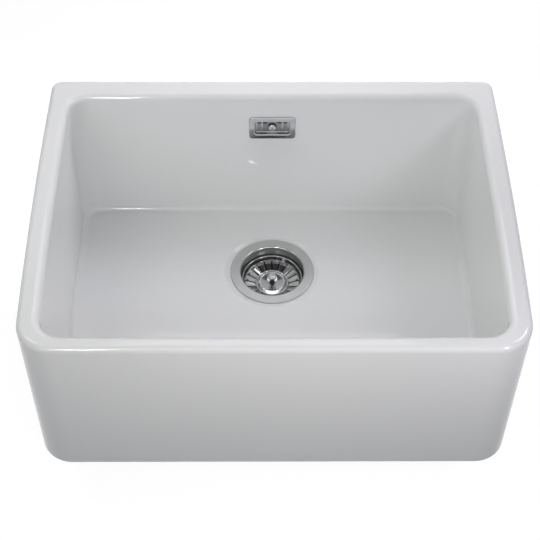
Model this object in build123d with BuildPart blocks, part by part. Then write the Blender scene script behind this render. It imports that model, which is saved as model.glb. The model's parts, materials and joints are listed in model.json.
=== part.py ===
from build123d import *
from math import cos, pi, radians, sin, sqrt, tan
import os

# Apron-front fireclay sink with a basket strainer waste and a rear overflow.
# Millimetres. X to the right, Y from the apron to the back, Z up.
# The origin is the middle of the plane that the foot stands on.

contact_gap = 0.02  # between two pieces drawn together
cut_margin = 1.0  # by which a cut overshoots the face it opens

# ------------------------------------------------------------------ sink body
sink_width = 595.0
sink_depth = 455.0
sink_height = 240.0
side_bow = 3.2  # the sides swell this far beyond their corners
outer_draft = 0.95  # degrees, the outside narrows towards the foot
front_corner_r = 43.5
back_corner_r = 14.0
rim_outer_r = 7.0
base_edge_r = 7.0

side_wall = 25.5
front_wall = 22.0
back_wall = 33.6
floor_thickness = 25.0
basin_bow = 2.0  # the basin's sides swell this far beyond its corners
inner_draft = 0.3  # degrees, the basin narrows towards its floor
basin_front_corner_r = 29.0
basin_back_corner_r = 25.0
basin_floor_r = 9.0
rim_inner_r = 9.0

foot_width = 34.0
foot_height = 6.0
foot_corner_r = 16.0
foot_edge_r = 3.0
flat_cut_depth = 4.0  # more than the drafts take off the back wall's height

# ---------------------------------------------------------------- waste outlet
waste_y = 75.5  # the waste stands behind the middle of the sink
waste_hole_r = 46.0
seat_r = 66.0  # soft outer edge of the sunk seat round the waste
seat_flat_r = 60.5
seat_drop = 2.6

flange_r = 58.0
flange_rise = 0.3  # from the flange's outer edge to its inner one
flange_skirt = 1.7
flange_metal = 0.8
flange_edge_r = 1.2
flange_roll_r = 2.5  # where the flange rolls over into the bowl
flange_lift = 0.1  # the flange's underside over its seal
flange_seal_r = 55.5
flange_seal_bore_r = 47.5
flange_seal_thickness = 1.2

bowl_upper_r = 43.5  # inside radius above the shoulder
bowl_lower_r = 40.4  # inside radius below the shoulder
bowl_shoulder_depth = 17.8
bowl_shoulder_height = 1.6
bowl_bend_r = 1.1
bowl_depth = 42.0
bowl_floor_bend_r = 4.0
bowl_pocket_r = 10.5
bowl_pocket_depth = 4.0
bowl_slot_count = 10
bowl_slot_length = 11.0
bowl_slot_width = 4.4
bowl_slot_ring_r = 19.0

# ------------------------------------------------------------- strainer basket
basket_metal = 0.6
basket_bead_ring_r = 41.3
basket_bead_r = 1.05
basket_bead_overlap = 0.9  # of the bead over the wall's upper edge
basket_seat_gap = 0.05
basket_wall_foot_r = 37.9
basket_fold_r = 33.2
basket_wall_height = 5.2
basket_fold_drop = 0.7
petal_inner_r = 22.4
petal_drop = 4.6
basket_ring_r = 19.6
basket_ring_drop = 2.8
inner_bead_ring_r = 21.95  # rolled ring in which the dish lies
inner_bead_r = 1.0
inner_bead_lift = 0.7  # middle of that ring above the petals' lower ends
slot_count = 20
slot_width = 1.9
slot_outer_r = 37.6
slot_end_gap = 1.0  # from the petals' lower bend to the slots

dish_edge_gap = 0.15
dish_rim_lift = 0.35  # above the petals' lower ends
dish_metal = 0.8
dish_depth = 4.5
dish_gap = 0.1

knob_cap_r = 5.9
knob_cap_height = 6.2
knob_neck_r = 4.3
knob_foot_r = 4.9
knob_height = 21.4  # from the bottom of the dish
knob_dome_height = 3.0
knob_cap_taper = 0.4
knob_cap_edge = 0.5
knob_foot_flare = 2.0
knob_foot_gap = 0.3
stem_r = 2.9
stem_fit = 0.08
stem_groove_r = 2.3
stem_chamfer = 0.6
stem_insertion = 4.2  # into the head of the fixing screw
catch_depth = 2.4

carrier_r = 27.0
carrier_boss_r = 23.5
carrier_boss_height = 2.2
carrier_foot_gap = 3.9  # above the floor of the bowl
carrier_step_inset = 1.0
carrier_step_gap = 0.4
carrier_slope = 2.4
plug_seal_r = 30.6
plug_seal_gap = 0.1
plug_seal_fit = 0.05
plug_seal_lip_height = 2.2
plug_seal_lip_width = 2.6
plug_nut_r = 4.7
plug_nut_height = 1.9
plug_nut_recess = 0.7
plug_nut_room = 3.0  # round the nut in its recess
catch_ring_r = 0.72
catch_fit = 0.1

# ------------------------------------------------------------------ waste body
body_flange_r = 58.0
body_flange_thickness = 4.5
body_cup_r = 46.0  # inside
body_wall = 2.5
body_cup_depth = 37.0
body_cone_height = 12.5
body_cone_wall = 1.8  # along the axis, between the cone's outer and inner bends
outlet_bore_r = 20.0
outlet_thread_r = 23.9  # G 1 1/2, outside
outlet_neck_r = 22.4
outlet_neck_height = 3.5
outlet_thread_length = 24.0
outlet_chamfer = 1.0
body_rib_count = 8
body_rib_thickness = 2.2
body_rib_reach = 7.0
body_rib_height = 12.0
body_rib_root = 1.0  # sunk into the cup's wall
hub_r = 9.5
hub_arm_count = 4
hub_arm_thickness = 3.0
hub_arm_height = 11.0
hub_arm_root = 1.0  # sunk into the hub and into the outlet's wall
hub_gap = 0.3
hub_end_wall = 2.0  # closes the hub under its insert
gasket_r = 56.5
gasket_lip_rise = 1.8  # the lip's underside at its inner edge
gasket_upstand_clearance = 0.3  # inside the hole for the waste
gasket_upstand_height = 3.0
gasket_bowl_clearance = 0.3  # round the strainer bowl

fixing_screw_r = 3.0
fixing_head_r = 7.2
fixing_head_height = 5.0
fixing_screw_length = 31.0
fixing_screw_chamfer = 0.6
fixing_socket_floor = 0.6
washer_r = 9.0
washer_thickness = 1.0
insert_key_r = 4.8  # corners of the hexagonal brass insert
insert_length = 11.0
insert_end_gap = 1.0  # under the end of the screw
screw_fit = 0.1

# -------------------------------------------------------------------- overflow
overflow_drop = 55.6  # rim to the middle of the overflow
overflow_hole_width = 52.0
overflow_hole_height = 29.0
overflow_hole_corner_r = 6.0

cover_width = 62.5
cover_height = 38.0
cover_corner_r = 4.6
cover_metal = 0.8
cover_edge_turn = 0.5  # the plate's edge stands this far in front of its seal
pan_width = 47.6
pan_height = 24.0
pan_corner_r = 3.2
pan_depth = 3.6
pan_upper_slot_height = 6.5
pan_lower_slot_height = 1.6
pan_slot_overcut = 0.4  # the slots reach this far into the pan's bend
pan_rib_inset = 0.5
pan_slots = ((-17.6, 3.6), (-9.8, 5.4), (9.8, 5.4), (17.6, 3.6))  # place, width
pan_ribs = (-21.6, -13.7, 13.7, 21.6)
pan_rib_r = 0.9
cover_seal_thickness = 0.8
cover_seal_inset = 1.5
cover_seal_fit = 0.2  # inside its ground flat

overflow_screw_r = 2.5
overflow_head_r = 5.8
overflow_head_height = 3.4
overflow_recess = 3.6
overflow_recess_width = 1.0
overflow_recess_depth = 1.6
overflow_head_rim = 0.85  # straight edge under the dome
overflow_tip_length = 1.0  # beyond the insert
overflow_tip_chamfer = 0.8

elbow_flange_width = 76.0
elbow_flange_height = 52.0
elbow_flange_corner_r = 8.0
elbow_flange_thickness = 3.0
elbow_flange_inset = 0.5  # inside its ground flat
elbow_gasket_thickness = 2.0
elbow_width = 58.0
elbow_height = 40.0
elbow_corner_r = 5.0
elbow_edge_r = 2.0
elbow_slope = 12.0
elbow_depth = 34.5
elbow_wall = 2.5
elbow_boss_r = 6.2
elbow_boss_setback = 9.0
elbow_insert_r = 3.8
elbow_insert_length = 11.0
elbow_insert_recess = 0.2
elbow_insert_room = 4.0  # behind the insert

# ------------------------------------------------------------------------ hose
hose_bore_r = 9.5
hose_cuff_r = 11.5
hose_cuff_length = 19.0
hose_insertion = 12.0
hose_end_gap = 1.0
hose_cuff_step = 1.0
hose_valley_r = 11.0
hose_crest_r = 13.0
hose_rib_count = 38
hose_crest_start = 0.22  # shares of the ribs' pitch
hose_crest_end = 0.56
hose_valley_start = 0.78
hose_bend_r = 38.0
hose_back_gap = 20.6  # middle of the hose behind the overflow's outer face
hose_drop = 22.0  # middle of the level run under the foot

socket_r = 14.5
socket_length = 22.0
socket_fit = 0.1
socket_thread_length = 11.0
nut_r = 17.4
nut_grip_count = 12
nut_grip_r = 1.3
nut_lip_thickness = 2.2
nut_lip_clearance = 0.4
hose_seal_length = 4.0
hose_seal_fit = 0.05
hose_seal_taper = 12.0  # degrees

# ------------------------------------------------------------- derived heights
floor_z = floor_thickness
basin_drop = sink_height - floor_z
basin_width = sink_width - 2 * (side_bow + side_wall)  # at the corners
basin_depth = sink_depth - front_wall - back_wall
basin_y = (front_wall - back_wall) / 2
overflow_z = sink_height - overflow_drop

seat_z = floor_z - seat_drop
flange_seal_top = seat_z + flange_seal_thickness
flange_edge_z = flange_seal_top + flange_lift + flange_metal
flange_top_z = flange_edge_z + flange_rise
shoulder_z = floor_z - bowl_shoulder_depth
shoulder_foot_z = shoulder_z - bowl_shoulder_height
bowl_floor_z = floor_z - bowl_depth
pocket_z = bowl_floor_z - bowl_pocket_depth
washer_top = pocket_z + washer_thickness
head_top = washer_top + fixing_head_height
screw_end_z = washer_top - fixing_screw_length
hub_top = pocket_z - flange_metal - hub_gap
gasket_upstand_r = waste_hole_r - gasket_upstand_clearance
gasket_bore_r = bowl_lower_r + flange_metal + gasket_bowl_clearance
gasket_upstand_bore_r = bowl_upper_r + flange_metal + gasket_bowl_clearance
gasket_bowl_gap = flange_metal + gasket_bowl_clearance

cup_floor_z = -body_cup_depth
neck_top_z = cup_floor_z - body_cone_height
thread_top_z = neck_top_z - outlet_neck_height
outlet_z = thread_top_z - outlet_thread_length
insert_foot_z = screw_end_z - insert_end_gap
hub_foot_z = insert_foot_z - hub_end_wall
inlet_z = -hose_drop

# The shoulder's slope carries the bead of the basket.
basket_bead_z = shoulder_z + basket_bead_r + basket_seat_gap
basket_wall_z = basket_bead_z - basket_wall_height
fold_z = basket_wall_z - basket_fold_drop
petal_z = fold_z - petal_drop
ring_z = petal_z - basket_ring_drop
dish_rim_z = petal_z + dish_rim_lift
dish_floor_z = dish_rim_z - dish_depth
dish_r = inner_bead_ring_r - inner_bead_r - dish_edge_gap
dish_sphere_r = (dish_r**2 + dish_depth**2) / (2 * dish_depth)
dish_center_z = dish_floor_z + dish_sphere_r
knob_foot_z = dish_floor_z + knob_foot_gap
knob_top_z = dish_floor_z + knob_height
carrier_foot_z = bowl_floor_z + carrier_foot_gap
nut_top_z = carrier_foot_z + plug_nut_recess
nut_foot_z = nut_top_z - plug_nut_height
stem_end_z = head_top - stem_insertion
catch_z = head_top - catch_depth
stem_bore_r = stem_r + stem_fit
catch_bore_r = stem_groove_r + 2 * catch_ring_r + catch_fit


def drafted(height, top_size, draft):
    """A length or radius after the draft has narrowed it on one side over a height."""
    return top_size - height * tan(radians(draft))


def drafted_outline(down, draft, width, depth, bow, middle_y, front_r, back_r):
    """Level outline below the rim, narrowed by the draft, whose sides swell outwards."""
    right, half_depth = drafted(down, width / 2, draft), drafted(down, depth / 2, draft)
    front, back = middle_y - half_depth, middle_y + half_depth
    with BuildSketch(Plane.XY.offset(sink_height - down)) as shape:
        with BuildLine():
            Line((-right, front), (right, front))
            ThreePointArc((right, front), (right + bow, middle_y), (right, back))
            Line((right, back), (-right, back))
            ThreePointArc((-right, back), (-right - bow, middle_y), (-right, front))
        make_face()
        fillet(shape.vertices().group_by(Axis.Y)[0], drafted(down, front_r, draft))
        fillet(shape.vertices().group_by(Axis.Y)[-1], drafted(down, back_r, draft))
    return shape.sketch


def outer_back_y(z):
    """Where the drafted back of the sink lies at a height."""
    return drafted(sink_height - z, sink_depth / 2, outer_draft)


def inner_back_y(z):
    """Where the drafted back wall of the basin lies at a height."""
    return drafted(sink_height - z, sink_depth / 2 - back_wall, inner_draft)


def dish_height(r, sphere_r):
    """Height of a sphere about the dish's centre at a radius from the axis."""
    return dish_center_z - sqrt(sphere_r**2 - r**2)


# Ground flats for the overflow: each cuts the drafted wall to an upright face.
cover_face_y = inner_back_y(overflow_z + cover_height / 2)
elbow_face_y = outer_back_y(overflow_z - elbow_flange_height / 2)
cover_back_y = cover_face_y - cover_seal_thickness
elbow_front_y = elbow_face_y + elbow_gasket_thickness
hose_y = elbow_face_y + hose_back_gap

waste_axis = Axis((0, waste_y, 0), (0, 0, 1))
waste_section = Plane(origin=(0, waste_y, 0), x_dir=(1, 0, 0), z_dir=(0, -1, 0))
overflow_axis = Axis((0, 0, overflow_z), (0, 1, 0))
overflow_section = Plane(origin=(0, 0, overflow_z), x_dir=(0, 1, 0), z_dir=(1, 0, 0))


def waste_plane(z):
    """Level plane about the axis of the waste."""
    return Plane(origin=(0, waste_y, z))


def back_plane(y):
    """Upright plane about the overflow's axis, looking into the basin."""
    return Plane(origin=(0, y, overflow_z), x_dir=(1, 0, 0), z_dir=(0, -1, 0))


# ------------------------------------------------------------------- sink_bowl
with BuildPart() as sink_bowl:
    for z in (sink_height, 0):
        add(drafted_outline(sink_height - z, outer_draft, sink_width - 2 * side_bow, sink_depth,
                            side_bow, 0, front_corner_r, back_corner_r))
    loft(ruled=True)
    fillet(sink_bowl.edges().group_by(Axis.Z)[0], base_edge_r)

    for z in (sink_height, floor_z):
        add(drafted_outline(sink_height - z, inner_draft, basin_width, basin_depth,
                            basin_bow, basin_y, basin_front_corner_r, basin_back_corner_r))
    loft(ruled=True, mode=Mode.SUBTRACT)
    floor_edges = sink_bowl.edges().filter_by_position(Axis.Z, floor_z - contact_gap, floor_z + contact_gap)
    fillet(floor_edges, basin_floor_r)
    rim_edges = sink_bowl.edges().group_by(Axis.Z)[-1]
    inner_rim = rim_edges.filter_by(lambda e: abs(e.center().X) < basin_width / 2 + basin_bow
                                    and abs(e.center().Y - basin_y) < basin_depth / 2 + cut_margin)
    fillet(inner_rim, rim_inner_r)
    outer_rim = sink_bowl.faces().sort_by(Axis.Z)[-1].outer_wire().edges()
    fillet(outer_rim, rim_outer_r)

    # The underside is hollowed inside a foot that runs all round.
    with BuildSketch(Plane.XY):
        RectangleRounded(sink_width - 2 * foot_width, sink_depth - 2 * foot_width, foot_corner_r)
    extrude(amount=foot_height, mode=Mode.SUBTRACT)
    hollow_edges = sink_bowl.edges().filter_by_position(
        Axis.Z, foot_height - contact_gap, foot_height + contact_gap)
    fillet(hollow_edges, foot_edge_r)

    # Sunk seat and hole for the waste.
    with BuildSketch(waste_section):
        with BuildLine():
            over_z = floor_z + cut_margin
            Polyline((0, seat_z), (0, over_z), (seat_r, over_z), (seat_r, floor_z))
            Spline((seat_r, floor_z), (seat_flat_r, seat_z), tangents=[(-1, 0), (-1, 0)])
            Line((seat_flat_r, seat_z), (0, seat_z))
        make_face()
    revolve(axis=waste_axis, mode=Mode.SUBTRACT)
    with BuildSketch(waste_plane(0)):
        Circle(waste_hole_r)
    extrude(amount=floor_z, mode=Mode.SUBTRACT)

    # Overflow hole, with a ground flat on both faces of the wall.
    with BuildSketch(back_plane(sink_depth / 2)):
        RectangleRounded(overflow_hole_width, overflow_hole_height, overflow_hole_corner_r)
    extrude(amount=back_wall + flat_cut_depth, mode=Mode.SUBTRACT)
    with BuildSketch(back_plane(cover_face_y)):
        RectangleRounded(cover_width - 2 * cover_seal_inset, cover_height - 2 * cover_seal_inset,
                         cover_corner_r)
    extrude(amount=flat_cut_depth, mode=Mode.SUBTRACT)
    with BuildSketch(back_plane(elbow_face_y)):
        RectangleRounded(elbow_flange_width, elbow_flange_height, elbow_flange_corner_r)
    extrude(amount=-flat_cut_depth, mode=Mode.SUBTRACT)

# --------------------------------------------------------------- strainer_bowl
with BuildPart() as strainer_bowl:
    with BuildSketch(waste_section):
        with BuildLine():
            FilletPolyline(
                (flange_r, flange_edge_z - flange_skirt),
                (flange_r, flange_edge_z),
                (bowl_upper_r, flange_top_z),
                (bowl_upper_r, shoulder_z),
                (bowl_lower_r, shoulder_foot_z),
                (bowl_lower_r, bowl_floor_z),
                (bowl_pocket_r, bowl_floor_z),
                (bowl_pocket_r, pocket_z),
                (fixing_screw_r + screw_fit, pocket_z),
                radius=[flange_edge_r, flange_roll_r, bowl_bend_r, bowl_bend_r,
                        bowl_floor_bend_r, bowl_bend_r, bowl_bend_r],
            )
            offset(amount=flange_metal, side=Side.LEFT)
        make_face()
    revolve(axis=waste_axis)
    with BuildSketch(waste_plane(bowl_floor_z + cut_margin)):
        with PolarLocations(bowl_slot_ring_r, bowl_slot_count):
            SlotOverall(bowl_slot_length, bowl_slot_width)
    extrude(amount=-2 * flange_metal - cut_margin, mode=Mode.SUBTRACT)

# ----------------------------------------------------------------- flange_seal
with BuildPart() as flange_seal:
    with BuildSketch(waste_plane(seat_z)):
        Circle(flange_seal_r)
        Circle(flange_seal_bore_r, mode=Mode.SUBTRACT)
    extrude(amount=flange_seal_thickness)

# ------------------------------------------------------------- strainer_basket
with BuildPart() as strainer_basket:
    with BuildSketch(waste_section):
        with BuildLine():
            FilletPolyline(
                (basket_bead_ring_r - basket_bead_overlap, basket_bead_z),
                (basket_wall_foot_r, basket_wall_z),
                (basket_fold_r, fold_z),
                (petal_inner_r, petal_z),
                (basket_ring_r, ring_z),
                radius=[1.4, 1.0, 0.8],
            )
            offset(amount=basket_metal, side=Side.LEFT)
        make_face()
        with Locations((basket_bead_ring_r, basket_bead_z)):
            Circle(basket_bead_r)
        with Locations((inner_bead_ring_r, petal_z + inner_bead_lift)):
            Circle(inner_bead_r)
    revolve(axis=waste_axis)
    slot_inner_r = petal_inner_r + slot_end_gap
    with BuildSketch(waste_plane(basket_bead_z)):
        with PolarLocations((slot_outer_r + slot_inner_r) / 2, slot_count):
            SlotOverall(slot_outer_r - slot_inner_r, slot_width)
    extrude(amount=ring_z - basket_bead_z - cut_margin, mode=Mode.SUBTRACT)

# ----------------------------------------------------------------- basket_dish
with BuildPart() as basket_dish:
    under_r = dish_sphere_r + dish_metal
    with BuildSketch(waste_section):
        with BuildLine():
            top = ThreePointArc(
                (stem_bore_r, dish_height(stem_bore_r, dish_sphere_r)),
                (dish_r / 2, dish_height(dish_r / 2, dish_sphere_r)),
                (dish_r, dish_height(dish_r, dish_sphere_r)),
            )
            under = ThreePointArc(
                (stem_bore_r, dish_height(stem_bore_r, under_r)),
                (dish_r / 2, dish_height(dish_r / 2, under_r)),
                (dish_r, dish_height(dish_r, under_r)),
            )
            Line(top @ 0, under @ 0)
            Line(top @ 1, under @ 1)
        make_face()
    revolve(axis=waste_axis)

# ------------------------------------------------------------------- lift_knob
with BuildPart() as lift_knob:
    cap_foot_z = knob_top_z - knob_cap_height
    with BuildSketch(waste_section):
        with BuildLine():
            dome = Spline((knob_cap_r, knob_top_z - knob_dome_height), (0, knob_top_z),
                          tangents=[(0, 1), (-1, 0)])
            Polyline(
                dome @ 0,
                (knob_cap_r - knob_cap_taper, cap_foot_z + knob_cap_edge),
                (knob_neck_r, cap_foot_z),
                (knob_neck_r, knob_foot_z + knob_foot_flare),
                (knob_foot_r, knob_foot_z),
                (stem_r, knob_foot_z),
                (stem_r, catch_z + catch_ring_r),
                (stem_groove_r, catch_z + catch_ring_r),
                (stem_groove_r, catch_z - catch_ring_r),
                (stem_r, catch_z - catch_ring_r),
                (stem_r, stem_end_z + stem_chamfer),
                (stem_r - stem_chamfer, stem_end_z),
                (0, stem_end_z),
                dome @ 1,
            )
        make_face()
    revolve(axis=waste_axis)

# ---------------------------------------------------------------- plug_carrier
with BuildPart() as plug_carrier:
    carrier_top_r = dish_sphere_r + dish_metal + dish_gap
    carrier_step_r = basket_ring_r - carrier_step_inset
    carrier_step_z = ring_z - basket_metal - carrier_step_gap
    with BuildSketch(waste_section):
        with BuildLine():
            crown = ThreePointArc(
                (stem_bore_r, dish_height(stem_bore_r, carrier_top_r)),
                (carrier_step_r / 2, dish_height(carrier_step_r / 2, carrier_top_r)),
                (carrier_step_r, dish_height(carrier_step_r, carrier_top_r)),
            )
            Polyline(
                crown @ 1,
                (carrier_step_r, carrier_step_z),
                (carrier_boss_r, carrier_step_z),
                (carrier_r, carrier_step_z - carrier_slope),
                (carrier_r, carrier_foot_z + carrier_boss_height),
                (carrier_boss_r, carrier_foot_z + carrier_boss_height),
                (carrier_boss_r, carrier_foot_z),
                (plug_nut_r + plug_nut_room, carrier_foot_z),
                (plug_nut_r + plug_nut_room, nut_top_z),
                (stem_bore_r, nut_top_z),
                crown @ 0,
            )
        make_face()
    revolve(axis=waste_axis)

# ------------------------------------------------------------------- plug_seal
with BuildPart() as plug_seal:
    seal_top_z = carrier_foot_z + carrier_boss_height - plug_seal_fit
    seal_foot_z = bowl_floor_z + plug_seal_gap
    seal_bore_r = carrier_boss_r + plug_seal_fit
    with BuildSketch(waste_section):
        with BuildLine():
            Polyline(
                (seal_bore_r, seal_top_z),
                (carrier_r, seal_top_z),
                (plug_seal_r, seal_foot_z + plug_seal_lip_height),
                (plug_seal_r, seal_foot_z),
                (plug_seal_r - plug_seal_lip_width, seal_foot_z),
                (carrier_r, carrier_foot_z),
                (seal_bore_r, carrier_foot_z),
                close=True,
            )
        make_face()
    revolve(axis=waste_axis)

# -------------------------------------------------------------------- plug_nut
with BuildPart() as plug_nut:
    with BuildSketch(waste_plane(nut_foot_z)):
        RegularPolygon(plug_nut_r, 6)
        Circle(stem_bore_r, mode=Mode.SUBTRACT)
    extrude(amount=plug_nut_height - contact_gap)

# ------------------------------------------------------------------ catch_ring
with BuildPart() as catch_ring:
    with BuildSketch(waste_section):
        with Locations((stem_groove_r + catch_ring_r, catch_z)):
            Circle(catch_ring_r - contact_gap)
    revolve(axis=waste_axis)

# ---------------------------------------------------------------- fixing_screw
with BuildPart() as fixing_screw:
    with BuildSketch(waste_plane(washer_top)):
        Circle(fixing_head_r)
    extrude(amount=fixing_head_height)
    chamfer(fixing_screw.edges().group_by(Axis.Z)[-1], fixing_screw_chamfer)
    with BuildSketch(waste_plane(washer_top)):
        Circle(fixing_screw_r)
    extrude(amount=-fixing_screw_length)
    chamfer(fixing_screw.edges().group_by(Axis.Z)[0], fixing_screw_chamfer)
    with BuildSketch(waste_plane(head_top)):
        Circle(catch_bore_r)
    extrude(amount=fixing_socket_floor - fixing_head_height, mode=Mode.SUBTRACT)

# ---------------------------------------------------------------- screw_washer
with BuildPart() as screw_washer:
    with BuildSketch(waste_plane(pocket_z)):
        Circle(washer_r)
        Circle(fixing_screw_r + screw_fit, mode=Mode.SUBTRACT)
    extrude(amount=washer_thickness)

# ---------------------------------------------------------------- lower_gasket
with BuildPart() as lower_gasket:
    with BuildSketch(waste_section):
        with BuildLine():
            Polyline(
                (gasket_bore_r, gasket_lip_rise),
                (body_cup_r, 0),
                (gasket_r, 0),
                (gasket_r, foot_height),
                (gasket_upstand_r, foot_height),
                (gasket_upstand_r, foot_height + gasket_upstand_height),
                (gasket_upstand_bore_r, foot_height + gasket_upstand_height),
                (gasket_upstand_bore_r, shoulder_z - gasket_bowl_gap),
                (gasket_bore_r, shoulder_foot_z - gasket_bowl_gap),
                close=True,
            )
        make_face()
    revolve(axis=waste_axis)

# ------------------------------------------------------------------ waste_body
body_cup_outer_r = body_cup_r + body_wall
socket_mouth_y = waste_y + body_cup_outer_r + socket_length
with BuildPart() as waste_body:
    with BuildSketch(waste_section):
        with BuildLine():
            Polyline(
                (0, 0),
                (body_flange_r, 0),
                (body_flange_r, -body_flange_thickness),
                (body_cup_outer_r, -body_flange_thickness),
                (body_cup_outer_r, cup_floor_z),
                (outlet_neck_r, neck_top_z),
                (outlet_neck_r, thread_top_z),
                (outlet_thread_r, thread_top_z),
                (outlet_thread_r, outlet_z + outlet_chamfer),
                (outlet_thread_r - outlet_chamfer, outlet_z),
                (0, outlet_z),
                close=True,
            )
        make_face()
    revolve(axis=waste_axis)
    # Threaded socket that takes the overflow hose.
    with BuildSketch(Plane(origin=(0, waste_y, inlet_z), x_dir=(-1, 0, 0), z_dir=(0, 1, 0))):
        Circle(socket_r)
    extrude(amount=body_cup_outer_r + socket_length)
    # Stiffening ribs under the flange.
    with BuildSketch(waste_plane(-body_flange_thickness)):
        with PolarLocations(body_cup_outer_r + (body_rib_reach - body_rib_root) / 2,
                            body_rib_count, start_angle=180 / body_rib_count):
            Rectangle(body_rib_reach + body_rib_root, body_rib_thickness)
    extrude(amount=-body_rib_height)
    # Inside of the cup, the cone and the outlet.
    with BuildSketch(waste_section):
        with BuildLine():
            Polyline(
                (0, cut_margin),
                (body_cup_r, cut_margin),
                (body_cup_r, cup_floor_z + body_cone_wall),
                (outlet_bore_r, neck_top_z + body_cone_wall),
                (outlet_bore_r, outlet_z - cut_margin),
                (0, outlet_z - cut_margin),
                close=True,
            )
        make_face()
    revolve(axis=waste_axis, mode=Mode.SUBTRACT)
    inlet_mouth = Plane(origin=(0, socket_mouth_y, inlet_z), x_dir=(1, 0, 0), z_dir=(0, -1, 0))
    with BuildSketch(inlet_mouth):
        Circle(hose_cuff_r + socket_fit)
    extrude(amount=hose_insertion + hose_end_gap, mode=Mode.SUBTRACT)
    with BuildSketch(inlet_mouth):
        Circle(hose_bore_r)
    extrude(amount=socket_length + 2 * body_wall + cut_margin, mode=Mode.SUBTRACT)
    # Hub on four arms, which the fixing screw pulls against.
    with BuildSketch(waste_plane(hub_foot_z)):
        Circle(hub_r)
    extrude(amount=hub_top - hub_foot_z)
    with BuildSketch(waste_plane(hub_foot_z)):
        with PolarLocations((outlet_bore_r + hub_r) / 2, hub_arm_count,
                            start_angle=180 / hub_arm_count):
            Rectangle(outlet_bore_r - hub_r + 2 * hub_arm_root, hub_arm_thickness)
    extrude(amount=hub_arm_height)
    with BuildSketch(waste_plane(hub_top)):
        Circle(fixing_screw_r + screw_fit)
    extrude(amount=insert_foot_z - hub_top, mode=Mode.SUBTRACT)
    with BuildSketch(waste_plane(insert_foot_z)):
        RegularPolygon(insert_key_r + screw_fit, 6)
    extrude(amount=insert_length, mode=Mode.SUBTRACT)

# ----------------------------------------------------------------- body_insert
with BuildPart() as body_insert:
    with BuildSketch(waste_plane(insert_foot_z)):
        RegularPolygon(insert_key_r, 6)
        Circle(fixing_screw_r + screw_fit / 2, mode=Mode.SUBTRACT)
    extrude(amount=insert_length - screw_fit)

# -------------------------------------------------------------- overflow_cover
cover_front_y = cover_back_y - cover_metal - cover_edge_turn
pan_floor_y = cover_front_y + pan_depth
with BuildPart() as overflow_cover:
    with BuildSketch(back_plane(cover_back_y)):
        RectangleRounded(cover_width, cover_height, cover_corner_r)
    extrude(amount=cover_metal + cover_edge_turn)
    fillet(overflow_cover.edges().group_by(Axis.Y)[0], cover_metal)
    with BuildSketch(back_plane(cover_back_y)):
        RectangleRounded(pan_width + 2 * cover_metal, pan_height + 2 * cover_metal,
                         pan_corner_r + cover_metal)
    extrude(amount=cover_back_y - pan_floor_y - cover_metal)
    with BuildSketch(back_plane(pan_floor_y)):
        RectangleRounded(pan_width, pan_height, pan_corner_r)
    extrude(amount=pan_depth, mode=Mode.SUBTRACT)
    with BuildSketch(back_plane(pan_floor_y)):
        for x, width in pan_slots:
            with Locations((x, pan_height / 2 + pan_slot_overcut)):
                Rectangle(width, pan_upper_slot_height, align=(Align.CENTER, Align.MAX))
            with Locations((x, -pan_height / 2 - pan_slot_overcut)):
                Rectangle(width, pan_lower_slot_height, align=(Align.CENTER, Align.MIN))
    extrude(amount=2 * cover_metal, both=True, mode=Mode.SUBTRACT)
    with BuildSketch(back_plane(pan_floor_y)):
        Circle(overflow_screw_r + screw_fit)
    extrude(amount=-2 * cover_metal, mode=Mode.SUBTRACT)
    rib_length = pan_height - 2 * pan_rib_inset
    for x in pan_ribs:
        rib_plane = Plane(origin=(x, pan_floor_y, overflow_z - rib_length / 2))
        with BuildSketch(rib_plane):
            Circle(pan_rib_r)
        extrude(amount=rib_length)

# ------------------------------------------------------------------ cover_seal
with BuildPart() as cover_seal:
    with BuildSketch(back_plane(cover_face_y)):
        seal_inset = cover_seal_inset + cover_seal_fit
        RectangleRounded(cover_width - 2 * seal_inset, cover_height - 2 * seal_inset,
                         cover_corner_r)
        RectangleRounded(overflow_hole_width, overflow_hole_height, overflow_hole_corner_r,
                         mode=Mode.SUBTRACT)
    extrude(amount=cover_seal_thickness)

# -------------------------------------------------------------- elbow_gasket
with BuildPart() as elbow_gasket:
    with BuildSketch(back_plane(elbow_face_y)):
        RectangleRounded(elbow_flange_width - 2 * elbow_flange_inset,
                         elbow_flange_height - 2 * elbow_flange_inset, elbow_flange_corner_r)
        RectangleRounded(overflow_hole_width, overflow_hole_height, overflow_hole_corner_r,
                         mode=Mode.SUBTRACT)
    extrude(amount=-elbow_gasket_thickness)

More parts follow.
